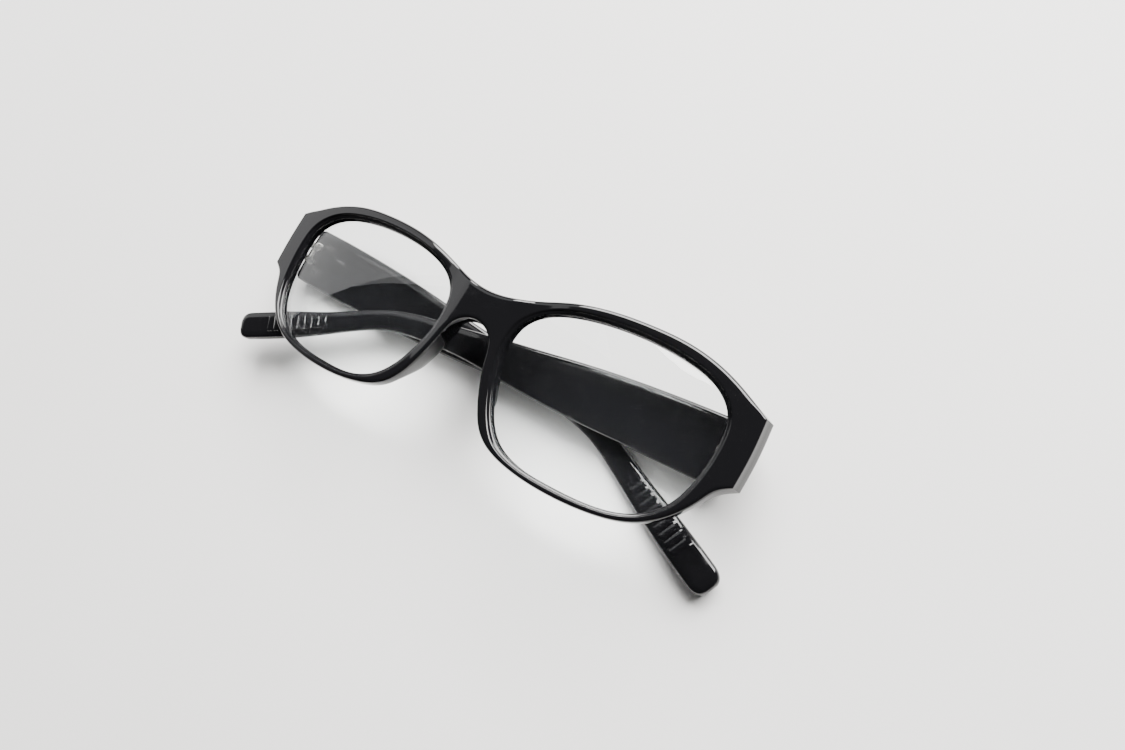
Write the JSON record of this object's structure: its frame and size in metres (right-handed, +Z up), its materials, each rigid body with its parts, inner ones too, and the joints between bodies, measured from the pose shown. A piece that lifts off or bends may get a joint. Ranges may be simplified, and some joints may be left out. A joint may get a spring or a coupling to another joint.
{
  "type": "eyeglasses frame",
  "caption": "Folded full-rim plastic eyeglasses with clear lenses, moulded nose pads and barrel hinges on the temples.",
  "frame": {"origin": "middle of the folded frame's footprint, on the surface that the left temple's outer face lies on", "axes": "+X along the width of the front towards its right end as seen from in front, +Y towards the brow edge, +Z up out of the lenses' front"},
  "size_m": [0.1424, 0.0452, 0.0196],
  "materials": {
    "black_plastic": "polished black injection-moulded plastic with soft bevels",
    "lens": "clear polished lens with a faint edge tint",
    "hinge_metal": "nickel-plated hinge leaves, screws and rivets"
  },
  "bodies": {
    "front": {"frame_front": "black_plastic", "lens_right": "lens", "lens_left": "lens", "hinge_leaf_front_right": "hinge_metal", "hinge_screw_right": "hinge_metal", "hinge_leaf_front_left": "hinge_metal", "hinge_screw_left": "hinge_metal", "hinge_rivet_right_1": "hinge_metal", "hinge_rivet_right_2": "hinge_metal", "hinge_rivet_left_1": "hinge_metal", "hinge_rivet_left_2": "hinge_metal"},
    "right_temple": {"temple_right": "black_plastic", "hinge_leaf_temple_right": "hinge_metal"},
    "left_temple": {"temple_left": "black_plastic", "hinge_leaf_temple_left": "hinge_metal"}
  },
  "joints": [
    {"name": "right_hinge", "type": "hinge", "parent": "front", "child": "right_temple", "pos_m": [0.06214, 0.00624, 0.00882], "axis": [0, -1, 0], "range_deg": [0, 97.2]},
    {"name": "left_hinge", "type": "hinge", "parent": "front", "child": "left_temple", "pos_m": [-0.06211, 0.00624, 0.00535], "axis": [0, 1, 0], "range_deg": [0, 93.4]}
  ]
}
